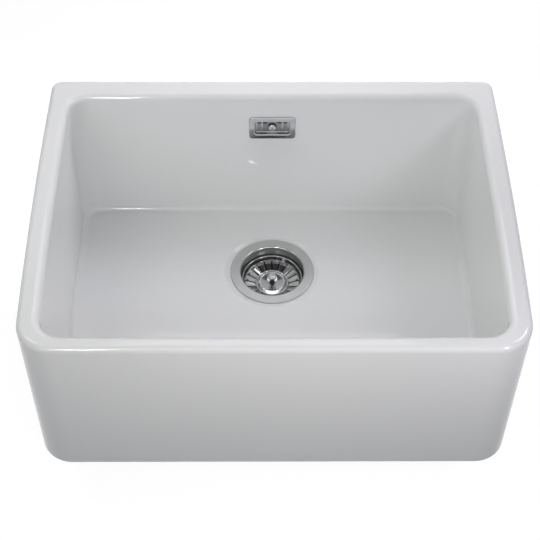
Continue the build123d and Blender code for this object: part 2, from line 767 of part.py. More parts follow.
# -------------------------------------------------------------- overflow_elbow
elbow_back_y = elbow_front_y + elbow_depth
boss_front_y = elbow_front_y + elbow_boss_setback
socket_mouth_z = overflow_z - elbow_height / 2 - socket_length
upper_mouth = Plane(origin=(0, hose_y, socket_mouth_z))
with BuildPart() as overflow_elbow:
    # Shallow box with a sloped top corner, seen from its side.
    with BuildSketch(overflow_section) as side_view:
        with BuildLine():
            Polyline(
                (elbow_front_y, -elbow_height / 2),
                (elbow_back_y, -elbow_height / 2),
                (elbow_back_y, elbow_height / 2 - elbow_slope),
                (elbow_back_y - elbow_slope, elbow_height / 2),
                (elbow_front_y, elbow_height / 2),
                close=True,
            )
        make_face()
    extrude(amount=elbow_width / 2, both=True)
    fillet(overflow_elbow.edges().filter_by(Axis.X).group_by(Axis.Z)[1:], elbow_corner_r)
    fillet(overflow_elbow.faces().filter_by(Axis.X).edges(), elbow_edge_r)
    with BuildSketch(back_plane(elbow_front_y)):
        RectangleRounded(elbow_flange_width - 2 * elbow_flange_inset,
                         elbow_flange_height - 2 * elbow_flange_inset, elbow_flange_corner_r)
    extrude(amount=-elbow_flange_thickness)
    with BuildSketch(upper_mouth):
        Circle(socket_r)
    extrude(amount=socket_length + elbow_wall)
    with BuildSketch(overflow_section):
        add(side_view.sketch_local)
        offset(amount=-elbow_wall, kind=Kind.INTERSECTION, mode=Mode.REPLACE)
        with Locations((elbow_front_y, 0)):
            Rectangle(2 * (elbow_wall + cut_margin), elbow_height - 2 * elbow_wall)
    extrude(amount=elbow_width / 2 - elbow_wall, both=True, mode=Mode.SUBTRACT)
    with BuildSketch(upper_mouth):
        Circle(hose_cuff_r + socket_fit)
    extrude(amount=hose_insertion + hose_end_gap, mode=Mode.SUBTRACT)
    with BuildSketch(upper_mouth):
        Circle(hose_bore_r)
    extrude(amount=socket_length + 2 * elbow_wall, mode=Mode.SUBTRACT)
    with BuildSketch(back_plane(boss_front_y)):
        Circle(elbow_boss_r)
    extrude(amount=boss_front_y - elbow_back_y + elbow_wall / 2)
    with BuildSketch(back_plane(boss_front_y)):
        Circle(elbow_insert_r + contact_gap)
    extrude(amount=-elbow_insert_length - elbow_insert_room, mode=Mode.SUBTRACT)

# ---------------------------------------------------------------- elbow_insert
with BuildPart() as elbow_insert:
    with BuildSketch(back_plane(boss_front_y + elbow_insert_recess)):
        Circle(elbow_insert_r)
        Circle(overflow_screw_r + screw_fit / 2, mode=Mode.SUBTRACT)
    extrude(amount=-elbow_insert_length)

# -------------------------------------------------------------- overflow_screw
head_seat_y = pan_floor_y - contact_gap
head_front_y = head_seat_y - overflow_head_height
screw_tip_y = boss_front_y + elbow_insert_length + overflow_tip_length
with BuildPart() as overflow_screw:
    with BuildSketch(overflow_section):
        with BuildLine():
            dome = Spline((head_seat_y - overflow_head_rim, overflow_head_r), (head_front_y, 0),
                          tangents=[(-1, 0), (0, -1)])
            Polyline(
                dome @ 0,
                (head_seat_y, overflow_head_r),
                (head_seat_y, overflow_screw_r),
                (screw_tip_y - overflow_tip_chamfer, overflow_screw_r),
                (screw_tip_y, overflow_screw_r - overflow_tip_chamfer),
                (screw_tip_y, 0),
                dome @ 1,
            )
        make_face()
    revolve(axis=overflow_axis)
    with BuildSketch(back_plane(head_front_y)):
        Rectangle(overflow_recess, overflow_recess_width)
        Rectangle(overflow_recess_width, overflow_recess)
    extrude(amount=-overflow_recess_depth, mode=Mode.SUBTRACT)

# --------------------------------------------------------------- overflow_hose
cuff_top_z = socket_mouth_z + hose_insertion
cuff_end_y = socket_mouth_y - hose_insertion
drop_length = cuff_top_z - (inlet_z + hose_bend_r)
bend_length = hose_bend_r * pi / 2
level_length = hose_y - hose_bend_r - cuff_end_y
hose_length = drop_length + bend_length + level_length


def hose_plane(s):
    """Plane across the hose at a length along its middle, from the upper cuff."""
    if s <= drop_length:
        turn, y, z = 0.0, hose_y, cuff_top_z - s
    elif s < drop_length + bend_length:
        turn = (s - drop_length) / hose_bend_r
        y = hose_y - hose_bend_r * (1 - cos(turn))
        z = inlet_z + hose_bend_r * (1 - sin(turn))
    else:
        turn = pi / 2
        y, z = cuff_end_y + hose_length - s, inlet_z
    return Plane(origin=(0, y, z), x_dir=(1, 0, 0), z_dir=(0, -sin(turn), -cos(turn)))


rib_pitch = (hose_length - 2 * hose_cuff_length) / hose_rib_count
hose_rings = [(0.0, hose_cuff_r), (hose_cuff_length - hose_cuff_step, hose_cuff_r)]
for rib in range(hose_rib_count):
    rib_start = hose_cuff_length + rib * rib_pitch
    hose_rings += [
        (rib_start, hose_valley_r),
        (rib_start + hose_crest_start * rib_pitch, hose_crest_r),
        (rib_start + hose_crest_end * rib_pitch, hose_crest_r),
        (rib_start + hose_valley_start * rib_pitch, hose_valley_r),
    ]
hose_rings += [(hose_length - hose_cuff_length + hose_cuff_step, hose_cuff_r),
               (hose_length, hose_cuff_r)]
with BuildPart() as overflow_hose:
    for s, r in hose_rings:
        with BuildSketch(hose_plane(s)):
            Circle(r)
    loft(ruled=True)
    with BuildLine():
        drop = Line(hose_plane(0).origin, hose_plane(drop_length).origin)
        bend = RadiusArc(drop @ 1, hose_plane(drop_length + bend_length).origin, hose_bend_r)
        Line(bend @ 1, hose_plane(hose_length).origin)
    with BuildSketch(hose_plane(0)):
        Circle(hose_bore_r)
    sweep(mode=Mode.SUBTRACT)


# ------------------------------------------------------- hose nuts and seals
def hose_nut(mouth):
    """Coupling nut over a threaded socket. The plane's Z points along the hose, away from it."""
    with BuildPart() as nut:
        with BuildSketch(mouth.offset(-socket_thread_length)):
            Circle(nut_r)
            with PolarLocations(nut_r, nut_grip_count):
                Circle(nut_grip_r)
        extrude(amount=socket_thread_length + hose_seal_length + nut_lip_thickness)
        with BuildSketch(mouth.offset(-socket_thread_length)):
            Circle(socket_r + socket_fit)
        extrude(amount=socket_thread_length + hose_seal_length, mode=Mode.SUBTRACT)
        with BuildSketch(mouth):
            Circle(hose_cuff_r + nut_lip_clearance)
        extrude(amount=hose_seal_length + nut_lip_thickness, mode=Mode.SUBTRACT)
    return nut


def hose_seal(mouth):
    """Tapered ring round the hose's cuff, squeezed by the nut's lip."""
    with BuildPart() as seal:
        with BuildSketch(mouth.offset(hose_seal_fit)):
            Circle(socket_r - 2 * hose_seal_fit)
        extrude(amount=hose_seal_length - 2 * hose_seal_fit, taper=hose_seal_taper)
        with BuildSketch(mouth):
            Circle(hose_cuff_r + hose_seal_fit)
        extrude(amount=hose_seal_length + cut_margin, mode=Mode.SUBTRACT)
    return seal


upper_outward = Plane(origin=(0, hose_y, socket_mouth_z), x_dir=(1, 0, 0), z_dir=(0, 0, -1))
lower_outward = Plane(origin=(0, socket_mouth_y, inlet_z), x_dir=(-1, 0, 0), z_dir=(0, 1, 0))
upper_hose_nut = hose_nut(upper_outward)
lower_hose_nut = hose_nut(lower_outward)
upper_hose_seal = hose_seal(upper_outward)
lower_hose_seal = hose_seal(lower_outward)

# ---------------------------------------------------------------------- export
pieces = {
    "sink_bowl": sink_bowl,
    "strainer_bowl": strainer_bowl,
    "flange_seal": flange_seal,
    "strainer_basket": strainer_basket,
    "basket_dish": basket_dish,
    "lift_knob": lift_knob,
    "plug_carrier": plug_carrier,
    "plug_seal": plug_seal,
    "plug_nut": plug_nut,
    "catch_ring": catch_ring,
    "fixing_screw": fixing_screw,
    "screw_washer": screw_washer,
    "lower_gasket": lower_gasket,
    "waste_body": waste_body,
    "body_insert": body_insert,
    "overflow_cover": overflow_cover,
    "cover_seal": cover_seal,
    "overflow_screw": overflow_screw,
    "elbow_gasket": elbow_gasket,
    "overflow_elbow": overflow_elbow,
    "elbow_insert": elbow_insert,
    "overflow_hose": overflow_hose,
    "upper_hose_nut": upper_hose_nut,
    "upper_hose_seal": upper_hose_seal,
    "lower_hose_nut": lower_hose_nut,
    "lower_hose_seal": lower_hose_seal,
}
os.makedirs("parts", exist_ok=True)
for name, piece in pieces.items():
    piece.part.label = name
    export_step(piece.part, f"parts/{name}.step")
print("hose length", round(hose_length, 1), "bend radius", hose_bend_r)
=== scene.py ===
"""Looks of an apron-front fireclay sink: glaze, metals, mouldings, hose, light and camera."""

import json
from math import cos, pi, radians, sin, sqrt

import bmesh
import bpy
from mathutils import Matrix, Vector


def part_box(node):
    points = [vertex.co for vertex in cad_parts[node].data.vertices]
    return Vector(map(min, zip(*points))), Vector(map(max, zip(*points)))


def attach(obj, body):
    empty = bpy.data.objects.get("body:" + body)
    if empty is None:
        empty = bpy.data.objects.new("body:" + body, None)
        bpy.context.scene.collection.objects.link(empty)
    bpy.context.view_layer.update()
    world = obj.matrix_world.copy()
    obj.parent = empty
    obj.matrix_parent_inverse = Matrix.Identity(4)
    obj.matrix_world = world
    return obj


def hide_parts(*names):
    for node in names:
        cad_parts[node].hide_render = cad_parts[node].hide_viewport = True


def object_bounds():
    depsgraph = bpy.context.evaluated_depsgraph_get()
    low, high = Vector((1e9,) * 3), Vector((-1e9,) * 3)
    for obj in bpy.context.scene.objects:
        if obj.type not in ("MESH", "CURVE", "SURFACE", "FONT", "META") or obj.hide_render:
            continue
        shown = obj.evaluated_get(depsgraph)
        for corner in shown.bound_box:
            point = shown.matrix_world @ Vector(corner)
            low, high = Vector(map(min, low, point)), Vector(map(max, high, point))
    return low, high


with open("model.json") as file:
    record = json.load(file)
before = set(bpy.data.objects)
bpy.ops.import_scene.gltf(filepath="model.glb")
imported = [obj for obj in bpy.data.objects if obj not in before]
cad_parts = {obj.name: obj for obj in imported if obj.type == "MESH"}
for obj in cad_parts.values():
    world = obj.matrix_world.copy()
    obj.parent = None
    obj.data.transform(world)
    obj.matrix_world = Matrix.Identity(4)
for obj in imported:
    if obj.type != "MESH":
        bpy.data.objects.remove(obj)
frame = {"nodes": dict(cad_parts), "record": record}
cad_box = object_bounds()
nodes = frame["nodes"]
mm = 0.001

# ------------------------------------------------------------ places, from the frame
sink_back, rim_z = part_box("sink_bowl")[1].yz
flange_low, flange_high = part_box("strainer_bowl")
cover_low, cover_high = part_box("overflow_cover")
hose_low, hose_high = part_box("overflow_hose")
screw_low, screw_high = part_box("overflow_screw")
dish_low, dish_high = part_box("basket_dish")
outlet_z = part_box("waste_body")[0].z
pocket_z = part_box("screw_washer")[0].z
waste_y = (flange_low.y + flange_high.y) / 2
cover_z = (cover_low.z + cover_high.z) / 2
screw_head_r = (screw_high.x - screw_low.x) / 2
dish_r = (dish_high.x - dish_low.x) / 2

# Sizes that the frame's boxes don't give, as in the part.
bowl_r = 43.5 * mm
flange_roll_r = 2.5 * mm
outlet_thread_r = 23.9 * mm
outlet_thread_length = 24.0 * mm
pipe_thread_pitch = 2.309 * mm
clamp_shank_r, clamp_pitch = 3.0 * mm, 1.0 * mm
foot_recess_z = 6.0 * mm
shoulder_z = 7.2 * mm
petal_inner_r, petal_outer_r = 22.4 * mm, 37.6 * mm
petal_count = 20
bead_r = 41.3 * mm
pan_width, pan_height, pan_corner_r = 47.6 * mm, 24.0 * mm, 3.2 * mm
pan_ribs = 13.7 * mm, 21.6 * mm
hole_half_width, hole_half_height = 32.0 * mm, 18.0 * mm
screw_recess_r, screw_shank_r, screw_shank_pitch = 0.8 * mm, 2.6 * mm, 0.8 * mm
hose_bend_r = 38.0 * mm
hose_cuff_length = 19.0 * mm
hose_cuff_r = 11.5 * mm
hose_valley_r = 11.0 * mm
hose_bore_r = 9.5 * mm
hose_rib_count = 38
hose_steps = 560  # about 14 to a rib


# ------------------------------------------------------------------------ node trees
class Wire:
    """An output socket. Arithmetic on it adds Math nodes to its tree."""

    def __init__(self, tree, socket):
        self.tree, self.socket = tree, socket

    def maths(self, operation, *others):
        return self.tree.node("ShaderNodeMath", {"operation": operation},
                              dict(enumerate((self, *others))))

    def __add__(self, other):
        return self.maths("ADD", other)

    def __sub__(self, other):
        return self.maths("SUBTRACT", other)

    def __rsub__(self, other):
        return self.maths("MULTIPLY_ADD", -1, other)

    def __mul__(self, other):
        return self.maths("MULTIPLY", other)

    def __truediv__(self, other):
        return self.maths("DIVIDE", other)

    def __pow__(self, other):
        return self.maths("POWER", other)

    def __gt__(self, other):
        return self.maths("GREATER_THAN", other)

    def __lt__(self, other):
        return self.maths("LESS_THAN", other)

    def __abs__(self):
        return self.maths("ABSOLUTE")

    __radd__, __rmul__ = __add__, __mul__

    def larger(self, other):
        return self.maths("MAXIMUM", other)

    def step(self, low, high):
        """0 up to low, 1 from high on, smooth between. Falls from 1 to 0 where low > high."""
        return self.tree.node("ShaderNodeMapRange", {"interpolation_type": "SMOOTHSTEP"},
                              {"Value": self, "From Min": low, "From Max": high})


class Tree:
    """A node tree whose nodes are made by one method."""

    def __init__(self, tree):
        self.tree = tree

    def node(self, kind, settings=None, inputs=None, output=0):
        """Adds a node, sets it, feeds its sockets and returns one of its outputs."""
        made = self.tree.nodes.new(kind)
        for key, value in (settings or {}).items():
            setattr(made, key, value)
        for key, value in (inputs or {}).items():
            self.feed(made.inputs[key], value)
        return Wire(self, made.outputs[output])

    def feed(self, socket, value):
        if isinstance(value, Wire):
            self.tree.links.new(value.socket, socket)
        else:
            socket.default_value = value


class Finish(Tree):
    """A material on Object coordinates with one Principled shader."""

    def __init__(self, name, color, roughness, **constants):
        self.material = bpy.data.materials.new(name)
        self.material.use_nodes = True
        self.material.diffuse_color = (*color, 1)
        super().__init__(self.material.node_tree)
        self.tree.nodes.clear()
        self.shader = self.tree.nodes.new("ShaderNodeBsdfPrincipled")
        self.output = self.tree.nodes.new("ShaderNodeOutputMaterial")
        self.tree.links.new(self.shader.outputs[0], self.output.inputs[0])
        self.shader.inputs["Base Color"].default_value = (*color, 1)
        self.shader.inputs["Roughness"].default_value = roughness
        for key, value in constants.items():
            self.shader.inputs[key.replace("_", " ")].default_value = value
        self.place = self.node("ShaderNodeTexCoord", output="Object")
        self.x, self.y, self.z = (
            self.node("ShaderNodeSeparateXYZ", {}, {0: self.place}, i) for i in range(3))

    def vector(self, x, y, z):
        return self.node("ShaderNodeCombineXYZ", {}, {0: x, 1: y, 2: z})

    def noise(self, scale, detail=2.0, roughness=0.5, place=None):
        """Noise from 0 to 1, about scale waves to the metre."""
        return self.node("ShaderNodeTexNoise", {},
                         {"Vector": place or self.place, "Scale": scale, "Detail": detail,
                          "Roughness": roughness})

    def blend(self, share, first, second):
        """Colour mix of two colours, each three numbers or a wire."""
        first, second = (c if isinstance(c, Wire) else (*c, 1) for c in (first, second))
        return self.node("ShaderNodeMix", {"data_type": "RGBA"}, {0: share, 6: first, 7: second}, 2)

    def paint(self, color, roughness):
        self.feed(self.shader.inputs["Base Color"], color)
        self.feed(self.shader.inputs["Roughness"], roughness)

    def relief(self, *layers):
        """Bumps from layers of (height from 0 to 1, depth in metres), one over the other."""
        normal = None
        for height, depth in layers:
            inputs = {"Strength": 1.0, "Distance": depth, "Height": height}
            if normal:
                inputs["Normal"] = normal
            normal = self.node("ShaderNodeBump", {}, inputs)
        self.feed(self.shader.inputs["Normal"], normal)

    def around(self, across, up):
        """(radius, angle) about an axis through across = up = 0."""
        radius = (across * across + up * up) ** 0.5
        return radius, up.maths("ARCTAN2", across)

    def thread(self, along, angle, pitch):
        """Height from 0 to 1 of a screw thread's V-shaped turns."""
        turn = along * (1 / pitch) - angle * (1 / (2 * pi))
        return abs(turn.maths("FRACT") * 2 - 1)

    def turned(self, radius, angle, scale):
        """Fine lines that run round an axis, as left by brushing or turning."""
        return self.noise(scale, 3.0, 0.65, self.vector(radius, angle * (0.4 * mm), self.z))


# -------------------------------------------------------------------------- finishes
def fireclay_glaze():
    """White glaze over fireclay, bare on the sink's underside."""
    glaze = Finish("fireclay_glaze", (0.86, 0.865, 0.868), 0.045, IOR=1.52)
    cloud = glaze.noise(7.0, 3.0, 0.55)
    mottle = glaze.noise(120.0, 3.0, 0.6)
    tone = glaze.blend(cloud.step(0.3, 0.7), (0.852, 0.862, 0.858), (0.866, 0.872, 0.868))
    tone = glaze.blend(mottle.step(0.45, 0.8) * 0.35, tone, (0.842, 0.850, 0.846))

    pits = glaze.node("ShaderNodeTexVoronoi", {"feature": "F1"},
                      {"Vector": glaze.place, "Scale": 160.0})
    rare = glaze.noise(31.0, 1.0).step(0.66, 0.72)
    pit = pits.step(0.075, 0.03) * rare
    tone = glaze.blend(pit * 0.35, tone, (0.60, 0.58, 0.54))
    # Painted shade: the glaze inside the overflow's hole is darkened.
    overflow_hole_shade = (glaze.y.step(cover_high.y, cover_high.y + 3 * mm)
            * abs(glaze.z - cover_z).step(hole_half_height + 2 * mm, hole_half_height)
            * abs(glaze.x).step(hole_half_width + 2 * mm, hole_half_width)
            * glaze.y.step(sink_back - 1 * mm, sink_back - 3 * mm))
    tone = glaze.blend(overflow_hole_shade * (0.8 + mottle * 0.2), tone, (0.10, 0.10, 0.095))

    facing = glaze.node("ShaderNodeTexCoord", output="Normal")
    down = glaze.node("ShaderNodeSeparateXYZ", {}, {0: facing}, 2)
    ragged = glaze.noise(90.0, 3.0, 0.6)
    bare = down.step(-0.55, -0.8) * (glaze.z + ragged * (2 * mm)).step(
        foot_recess_z + 4 * mm, foot_recess_z + 2 * mm)
    grain = glaze.noise(700.0, 4.0, 0.7)
    clay = glaze.blend(grain.step(0.35, 0.7), (0.60, 0.55, 0.47), (0.72, 0.68, 0.60))
    glaze.paint(glaze.blend(bare, tone, clay),
                0.03 + mottle * 0.02 + cloud * 0.015 + bare * 0.75)
    glaze.relief((glaze.noise(11.0, 1.0), 0.12 * mm),
                 (glaze.noise(420.0, 2.0), 0.0008 * mm),
                 (1 - pit, 0.05 * mm),
                 (grain * bare, 0.25 * mm))
    return glaze.material


def waste_steel(name, threaded=False):
    """Satin flange with fine turning lines, round a duller bowl darkened by painted shade."""
    steel = Finish(name, (0.64, 0.645, 0.63), 0.28, Metallic=1.0)
    radius, angle = steel.around(steel.x, steel.y - waste_y)
    lines = steel.turned(radius, angle, 5200.0)
    satin = radius.step(bowl_r + 0.4 * flange_roll_r, bowl_r + flange_roll_r)
    haze = steel.noise(55.0, 3.0, 0.6)
    shade_noise = steel.noise(210.0, 4.0, 0.65)
    # Painted shade: the bowl under the flange's roll is darkened.
    inside = steel.z.step(flange_high.z - 1.5 * mm, flange_high.z - 4.0 * mm) * (1 - satin)
    # Painted shade: the steel below the basket's shoulder is painted nearly black.
    deep_shade = (steel.z + shade_noise * (2 * mm)).step(shoulder_z + 1 * mm, shoulder_z - 2 * mm)
    tone = steel.blend(haze.step(0.35, 0.75) * 0.5, (0.55, 0.56, 0.545), (0.50, 0.51, 0.495))
    tone = steel.blend(inside * (0.8 + shade_noise * 0.2), tone, (0.31, 0.315, 0.31))
    tone = steel.blend(deep_shade * (0.7 + shade_noise * 0.3), tone, (0.045, 0.045, 0.045))
    steel.paint(tone, 0.10 + satin * 0.20 + lines * 0.05 + haze * 0.03 + deep_shade * 0.2 + inside * 0.2)
    layers = [(lines, 0.010 * mm), (steel.noise(60.0, 1.0), 0.05 * mm)]
    if threaded:
        on_shank = (radius.step(clamp_shank_r + 0.4 * mm, clamp_shank_r)
                    * steel.z.step(pocket_z, pocket_z - 0.5 * mm))
        layers.append((steel.thread(steel.z, angle, clamp_pitch) * on_shank, 0.5 * clamp_pitch))
    steel.relief(*layers)
    return steel.material


def basket_steel(name="bright_pressed_steel", light=0.54, gloss=0.05):
    """Bright pressed steel with draw marks down the petals."""
    steel = Finish(name, (light, light, light), gloss + 0.05, Metallic=1.0)
    radius, angle = steel.around(steel.x, steel.y - waste_y)
    draw = steel.noise(900.0, 3.0, 0.6, steel.vector(radius * 0.08, angle * (25 * mm), 0.0))
    smear = steel.noise(140.0, 2.0)
    petals = (radius.step(petal_inner_r - 0.2 * mm, petal_inner_r)
              * radius.step(petal_outer_r + 0.3 * mm, petal_outer_r - 1.5 * mm))
    # A petal is rounded from slot to slot.
    crown = abs((angle * (petal_count / 2)).maths("SINE")) * petals
    dull = light * 0.87
    tone = steel.blend(smear.step(0.4, 0.8) * 0.4, (light, light, light), (dull, dull, dull))
    # Painted shade: the wall between the petals and the bead is darkened.
    wall = (radius.step(petal_outer_r - 1.0 * mm, petal_outer_r + 0.6 * mm)
            * radius.step(bead_r - 0.6 * mm, bead_r - 1.6 * mm))
    steel.paint(steel.blend(wall * 0.85, tone, (0.16, 0.16, 0.16)),
                gloss + draw * 0.04 + smear * 0.03)
    steel.relief((crown, 0.24 * mm), (smear, 0.03 * mm), (draw, 0.003 * mm))
    return steel.material


def cover_steel():
    """Polished plate whose lines run along its length."""
    steel = Finish("polished_plate_steel", (0.60, 0.61, 0.63), 0.06, Metallic=1.0)
    lines = steel.noise(3600.0, 3.0, 0.6, steel.vector(steel.x * 0.02, steel.y, steel.z))
    soft = steel.noise(70.0, 2.0)
    # Painted reflection of the dark drain: the plate darkens towards its bottom.
    low = (steel.z + soft * (4 * mm)).step(cover_z + 4 * mm, cover_z - 5 * mm)
    # Painted shade: the pan's inside is darker.
    inside = (steel.y.step(cover_low.y + 1.6 * mm, cover_low.y + 3.0 * mm)
              * steel.z.step(cover_z - 9.5 * mm, cover_z - 8.0 * mm))
    tone = steel.blend(soft.step(0.35, 0.75) * 0.5, (0.62, 0.63, 0.65), (0.56, 0.57, 0.59))
    tone = steel.blend(low * (1 - inside) * 0.9, tone, (0.24, 0.245, 0.255))
    tone = steel.blend(inside * 0.9, tone, (0.30, 0.31, 0.315))
    # Painted highlights on the fold under the pan and on the crests of its ribs.
    side, above = abs(steel.x), steel.z - cover_z
    beside = (side - (pan_width / 2 - pan_corner_r)).larger(0.0)
    over = (abs(above) - (pan_height / 2 - pan_corner_r)).larger(0.0)
    reach = (beside * beside + over * over) ** 0.5
    fold_highlight = (reach.step(pan_corner_r - 0.3 * mm, pan_corner_r - 0.1 * mm)
            * reach.step(pan_corner_r + 1.3 * mm, pan_corner_r + 0.9 * mm)
            * steel.y.step(cover_low.y + 1.8 * mm, cover_low.y + 1.2 * mm)
            * above.step(-2 * mm, -9 * mm))
    first, second = (abs(side - x) for x in pan_ribs)
    ribs = (first.maths("MINIMUM", second).step(1.4 * mm, 0.8 * mm)
            * inside * above.step(-5 * mm, 4 * mm))
    painted_highlights = (fold_highlight * 0.9).larger(ribs * 0.75)
    tone = steel.blend(painted_highlights, tone, (0.93, 0.93, 0.93))
    steel.paint(tone, 0.05 + lines * 0.02 + soft * 0.03 + low * 0.04 + painted_highlights * 0.25)
    steel.relief((soft, 0.05 * mm), (lines, 0.0012 * mm))
    return steel.material


def chrome(name, light, screw=False):
    """Polished plating. A screw has a thread on its shank, and painted shade in its recess and
    round its edge.
    """
    plate = Finish(name, (light, light, light), 0.05, Metallic=1.0)
    peel = plate.noise(260.0, 2.0)
    tarnish = plate.noise(95.0, 3.0, 0.65)
    dull = light * 0.85
    tone = plate.blend(tarnish.step(0.5, 0.8) * 0.35, (light, light, light), (dull, dull, dull))
    layers = [(peel, 0.012 * mm)]
    if screw:
        radius, angle = plate.around(plate.x, plate.z - cover_z)
        # Painted shade: the head's edge and its recess are near black.
        head_edge_shade = radius.step(screw_head_r - 1.2 * mm, screw_head_r - 0.5 * mm)
        recess_shade = radius.step(screw_recess_r + 0.5 * mm, screw_recess_r)
        tone = plate.blend(head_edge_shade.larger(recess_shade) * 0.95, tone, (0.03, 0.03, 0.03))
        shank = radius.step(screw_shank_r + 0.1 * mm, screw_shank_r)
        layers.append((plate.thread(plate.y, angle, screw_shank_pitch) * shank, 0.4 * mm))
    plate.paint(tone, 0.035 + tarnish * 0.05)
    plate.relief(*layers)
    return plate.material


def turned_brass():
    brass = Finish("turned_brass", (0.72, 0.53, 0.26), 0.25, Metallic=1.0)
    radius, angle = brass.around(brass.x, brass.y - waste_y)
    lines = brass.turned(radius, angle, 2600.0)
    dull = brass.noise(180.0, 3.0, 0.6)
    brass.paint(brass.blend(dull, (0.74, 0.55, 0.27), (0.55, 0.38, 0.19)),
                0.18 + dull * 0.16 + lines * 0.08)
    brass.relief((lines, 0.02 * mm))
    return brass.material


def seal_rubber():
    """Black moulded rubber, dusty in its grain."""
    rubber = Finish("black_seal_rubber", (0.030, 0.030, 0.031), 0.62)
    grain = rubber.noise(1500.0, 3.0, 0.6)
    dust = rubber.noise(130.0, 4.0, 0.65)
    rubber.paint(rubber.blend(dust.step(0.5, 0.8) * 0.5, (0.026, 0.026, 0.027),
                              (0.075, 0.074, 0.072)),
                 0.5 + dust * 0.25 + grain * 0.06)
    rubber.relief((grain, 0.03 * mm), (rubber.noise(90.0, 2.0), 0.08 * mm))
    return rubber.material


def moulded_plastic(name, light, shade, gloss):
    """Moulded plastic with a fine spark texture."""
    plastic = Finish(name, light, gloss)
    spark = plastic.noise(1100.0, 3.0, 0.6)
    flow = plastic.noise(26.0, 4.0, 0.6)
    plastic.paint(plastic.blend(flow.step(0.35, 0.75) * 0.8, light, shade),
                  gloss - 0.06 + spark * 0.10 + flow * 0.06)
    plastic.relief((plastic.noise(40.0, 2.0), 0.12 * mm), (spark, 0.02 * mm))
    return plastic.material


finishes = {
    "fireclay": fireclay_glaze(),
    "waste_steel": waste_steel("satin_waste_steel"),
    "basket_steel": basket_steel(),
    "cover_steel": cover_steel(),
    "polished_chrome": chrome("polished_chrome", 0.66),
    "insert_brass": turned_brass(),
    "seal_rubber": seal_rubber(),
    "black_plastic": moulded_plastic("black_moulding", (0.045, 0.045, 0.046),
                                     (0.060, 0.060, 0.060), 0.42),
    "white_plastic": moulded_plastic("white_moulding", (0.80, 0.80, 0.785),
                                     (0.75, 0.75, 0.73), 0.42),
    "hose_plastic": moulded_plastic("hose_moulding", (0.72, 0.73, 0.73), (0.66, 0.67, 0.665), 0.36),
}
own_finishes = {
    "fixing_screw": waste_steel("threaded_waste_steel", threaded=True),
    "overflow_screw": chrome("polished_screw", 0.70, screw=True),
}
for part in frame["record"]["subparts"]:
    mesh = nodes[part["node"]].data
    mesh.materials.clear()
    mesh.materials.append(own_finishes.get(part["node"], finishes[part["material_slot"]]))


# ------------------------------------------------------------------- overflow hose
def hose_route():
    """Curve down the middle of the hose: a drop, a quarter bend and a level run."""
    crest_r = (hose_high.x - hose_low.x) / 2
    back_y, level_z = hose_high.y - crest_r, hose_low.z + crest_r
    places = (Vector((0, back_y, hose_high.z)), Vector((0, back_y, level_z + hose_bend_r)),
              Vector((0, back_y - hose_bend_r, level_z)), Vector((0, hose_low.y, level_z)))
    curve = bpy.data.curves.new("hose_route", "CURVE")
    curve.dimensions = "3D"
    spline = curve.splines.new("BEZIER")
    spline.bezier_points.add(len(places) - 1)
    spline.resolution_u = 64
    quarter = hose_bend_r * 4 / 3 * (sqrt(2) - 1)  # handles that draw a quarter circle
    for i, (point, place) in enumerate(zip(spline.bezier_points, places)):
        point.co = place
        before = place - places[i - 1] if i else places[1] - place
        after = places[i + 1] - place if i < len(places) - 1 else before
        onward = Vector((0, 0, -1)) if i < 2 else Vector((0, -1, 0))
        point.handle_left = place - onward * (quarter if i == 2 else before.length / 3)
        point.handle_right = place + onward * (quarter if i == 1 else after.length / 3)
    return bpy.data.objects.new("hose_route", curve), crest_r


def ribbed_tube_tree():
    """Geometry Nodes that give a curve a closed tube wall with round ribs between two cuffs."""
    group = bpy.data.node_groups.new("ribbed_tube", "GeometryNodeTree")
    group.interface.new_socket("Curve", in_out="INPUT", socket_type="NodeSocketGeometry")
    for name in ("Cuff length", "Cuff radius", "Valley radius", "Crest radius", "Bore radius"):
        group.interface.new_socket(name, in_out="INPUT", socket_type="NodeSocketFloat")
    for name in ("Ribs", "Steps"):
        group.interface.new_socket(name, in_out="INPUT", socket_type="NodeSocketInt")
    group.interface.new_socket("Material", in_out="INPUT", socket_type="NodeSocketMaterial")
    group.interface.new_socket("Mesh", in_out="OUTPUT", socket_type="NodeSocketGeometry")
    tree = Tree(group)
    given = group.nodes.new("NodeGroupInput")
    curve, cuff, cuff_r, valley_r, crest_r, bore_r, ribs, steps, material = (
        Wire(tree, socket) for socket in list(given.outputs)[:9])

    route = tree.node("GeometryNodeResampleCurve", {"mode": "COUNT"},
                      {"Curve": curve, "Count": steps})
    length = tree.node("GeometryNodeCurveLength", {}, {0: curve})
    along = tree.node("GeometryNodeSplineParameter", {}, {}, "Length")
    share = (along - cuff) / (length - cuff * 2)
    inside = (share > 0) * (share < 1)
    wave = share * ribs * (2 * pi)
    round_rib = (0.5 - 0.5 * wave.maths("COSINE")) ** 0.7
    ribbed = valley_r + (crest_r - valley_r) * round_rib
    wall_r = cuff_r + (ribbed - cuff_r) * inside
    end_step = length / steps * 0.5
    on_end = (along < end_step) + (along > length - end_step)
    outer_r = wall_r + (bore_r - wall_r) * on_end

    ring = tree.node("GeometryNodeCurvePrimitiveCircle", {"mode": "RADIUS"},
                     {"Resolution": 48, "Radius": 1.0})
    outside, lining = (
        tree.node("GeometryNodeCurveToMesh", {},
                  {"Curve": route, "Profile Curve": ring, "Scale": r}) for r in (outer_r, bore_r))
    lining = tree.node("GeometryNodeFlipFaces", {}, {0: lining})
    join = group.nodes.new("GeometryNodeJoinGeometry")
    for wall in (lining, outside):
        group.links.new(wall.socket, join.inputs[0])
    tube = tree.node("GeometryNodeMergeByDistance", {},
                     {"Geometry": Wire(tree, join.outputs[0]), "Distance": 0.01 * mm})
    tube = tree.node("GeometryNodeSetShadeSmooth", {}, {"Geometry": tube})
    tube = tree.node("GeometryNodeRealizeInstances", {}, {0: tube})
    tube = tree.node("GeometryNodeSetMaterial", {}, {"Geometry": tube, "Material": material})
    result = group.nodes.new("NodeGroupOutput")
    group.links.new(tube.socket, result.inputs[0])
    return group


